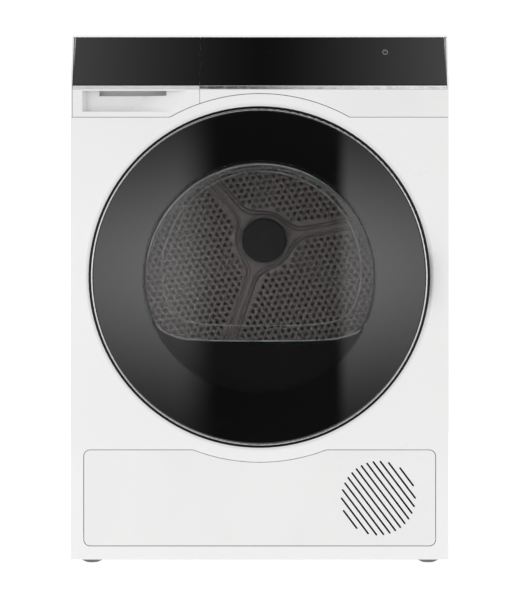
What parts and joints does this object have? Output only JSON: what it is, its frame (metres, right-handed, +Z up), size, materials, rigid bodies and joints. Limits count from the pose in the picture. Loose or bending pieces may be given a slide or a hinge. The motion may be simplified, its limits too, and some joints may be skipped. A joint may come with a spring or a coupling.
{
  "type": "clothes dryer",
  "caption": "Free-standing tumble dryer with a round glazed front door, a water tank drawer, a touch control band, a turning drum and a vented service flap.",
  "frame": {"origin": "centre of the footprint, on the floor under the feet", "axes": "+Z up, the door faces -Y, +X to the right of a person facing the door"},
  "size_m": [0.6, 0.654, 0.845],
  "materials": {
    "white_steel": "gloss white enamel",
    "worktop_white": "white laminate",
    "white_plastic": "satin white",
    "black_glass": "gloss black",
    "smoked_glass": "tinted gloss",
    "clear_glass": "clear",
    "bright_trim": "polished",
    "black_plastic": "gloss",
    "dark_plastic": "satin",
    "grey_plastic": "satin",
    "light_plastic": "satin",
    "galvanised": "zinc coated",
    "stainless": "satin stainless",
    "rubber": "matt",
    "felt": "felt",
    "fins": "fins",
    "copper": "copper pipe",
    "compressor_black": "black paint",
    "bronze": "sintered bronze",
    "foot_grey": "dark grey"
  },
  "bodies": {
    "root": {"base_tray": "grey_plastic", "feet": "foot_grey", "side_panel_left": "white_steel", "side_panel_right": "white_steel", "rear_panel": "galvanised", "rear_cover": "galvanised", "mains_inlet": "dark_plastic", "worktop": "worktop_white", "front_panel": "white_steel", "panel_screws": "galvanised", "fascia": "white_plastic", "control_glass": "black_glass", "fascia_trim": "bright_trim", "control_board": "light_plastic", "tank_housing": "grey_plastic", "hinge_bracket": "galvanised", "door_seal": "rubber", "door_latch": "dark_plastic", "drum_bearing": "bronze", "rear_bulkhead": "galvanised", "front_bulkhead": "grey_plastic", "drum_seals": "felt", "drum_belt": "rubber", "motor": "galvanised", "fan_housing": "grey_plastic", "tension_spring": "galvanised", "exchanger_coils": "fins", "exchanger_cover": "light_plastic", "compressor": "compressor_black", "refrigerant_pipes": "copper", "condensate_pump": "dark_plastic", "pump_hose": "rubber", "cooling_fan_housing": "dark_plastic"},
    "door": {"door_glass": "smoked_glass", "door_trim_ring": "bright_trim", "door_frame": "black_plastic", "door_inner_frame": "black_plastic", "door_bowl": "clear_glass", "door_hook": "galvanised", "door_hinge": "galvanised"},
    "drum": {"drum_shell": "stainless", "drum_rear_wall": "stainless", "drum_hub_cap": "dark_plastic", "drum_lifters": "light_plastic", "drum_shaft": "galvanised"},
    "motor_rotor": {"motor_shaft": "galvanised", "blower_wheel": "dark_plastic"},
    "idler_arm": {"idler_arm": "galvanised"},
    "idler_pulley": {"idler_pulley": "dark_plastic"},
    "roller_left": {"roller_left": "rubber"},
    "roller_right": {"roller_right": "rubber"},
    "cooling_fan": {"cooling_fan_rotor": "dark_plastic"},
    "tank_drawer": {"tank_front": "white_plastic", "tank_glass": "black_glass", "tank_trim": "bright_trim", "tank_shell": "light_plastic"},
    "service_flap": {"service_flap": "white_plastic"},
    "cover_latch_left": {"cover_latch_left": "dark_plastic"},
    "cover_latch_right": {"cover_latch_right": "dark_plastic"},
    "lint_filter": {"lint_filter": "light_plastic"}
  },
  "joints": [
    {"name": "door_hinge", "type": "hinge", "parent": "root", "child": "door", "pos_m": [0.258, -0.309, 0.4585], "axis": [0, 0, 1], "range_deg": [0, 130]},
    {"name": "drum_spin", "type": "hinge", "parent": "root", "child": "drum", "pos_m": [0, 0.036, 0.52], "axis": [0, 1, 0], "continuous": true},
    {"name": "motor_spin", "type": "hinge", "parent": "root", "child": "motor_rotor", "pos_m": [0.075, 0.029, 0.12], "axis": [0, 1, 0], "continuous": true},
    {"name": "idler_swing", "type": "hinge", "parent": "root", "child": "idler_arm", "pos_m": [0.16, 0.038, 0.06], "axis": [0, 1, 0], "range_deg": [0, 10], "stiffness_Nm_per_rad": 2, "springref_deg": -22.92, "deforming": ["tension_spring"]},
    {"name": "idler_spin", "type": "hinge", "parent": "idler_arm", "child": "idler_pulley", "pos_m": [0.14151, 0.029, 0.17037], "axis": [0, 1, 0], "continuous": true},
    {"name": "roller_left_spin", "type": "hinge", "parent": "root", "child": "roller_left", "pos_m": [-0.18981, -0.169, 0.27706], "axis": [0, 1, 0], "continuous": true},
    {"name": "roller_right_spin", "type": "hinge", "parent": "root", "child": "roller_right", "pos_m": [0.18981, -0.169, 0.27706], "axis": [0, 1, 0], "continuous": true},
    {"name": "cooling_fan_spin", "type": "hinge", "parent": "root", "child": "cooling_fan", "pos_m": [0.1884, -0.239, 0.1073], "axis": [0, 1, 0], "continuous": true},
    {"name": "tank_slide", "type": "slide", "parent": "root", "child": "tank_drawer", "axis": [0, -1, 0], "range_m": [0, 0.42]},
    {"name": "flap_hinge", "type": "hinge", "parent": "root", "child": "service_flap", "pos_m": [0, -0.2864, 0.0425], "axis": [1, 0, 0], "range_deg": [0, 90]},
    {"name": "left_latch_turn", "type": "hinge", "parent": "root", "child": "cover_latch_left", "pos_m": [-0.248, -0.275, 0.107], "axis": [0, 1, 0], "range_deg": [0, 90]},
    {"name": "right_latch_turn", "type": "hinge", "parent": "root", "child": "cover_latch_right", "pos_m": [-0.077, -0.275, 0.107], "axis": [0, 1, 0], "range_deg": [0, 90]},
    {"name": "filter_lift", "type": "slide", "parent": "root", "child": "lint_filter", "axis": [0, 0, -1], "range_m": [-0.12, 0]}
  ],
  "couplings": [
    {"joint": "motor_spin", "follows": "drum_spin", "ratio": 34.253},
    {"joint": "idler_spin", "follows": "drum_spin", "ratio": -14.054},
    {"joint": "roller_left_spin", "follows": "drum_spin", "ratio": -11.32},
    {"joint": "roller_right_spin", "follows": "drum_spin", "ratio": -11.32}
  ]
}
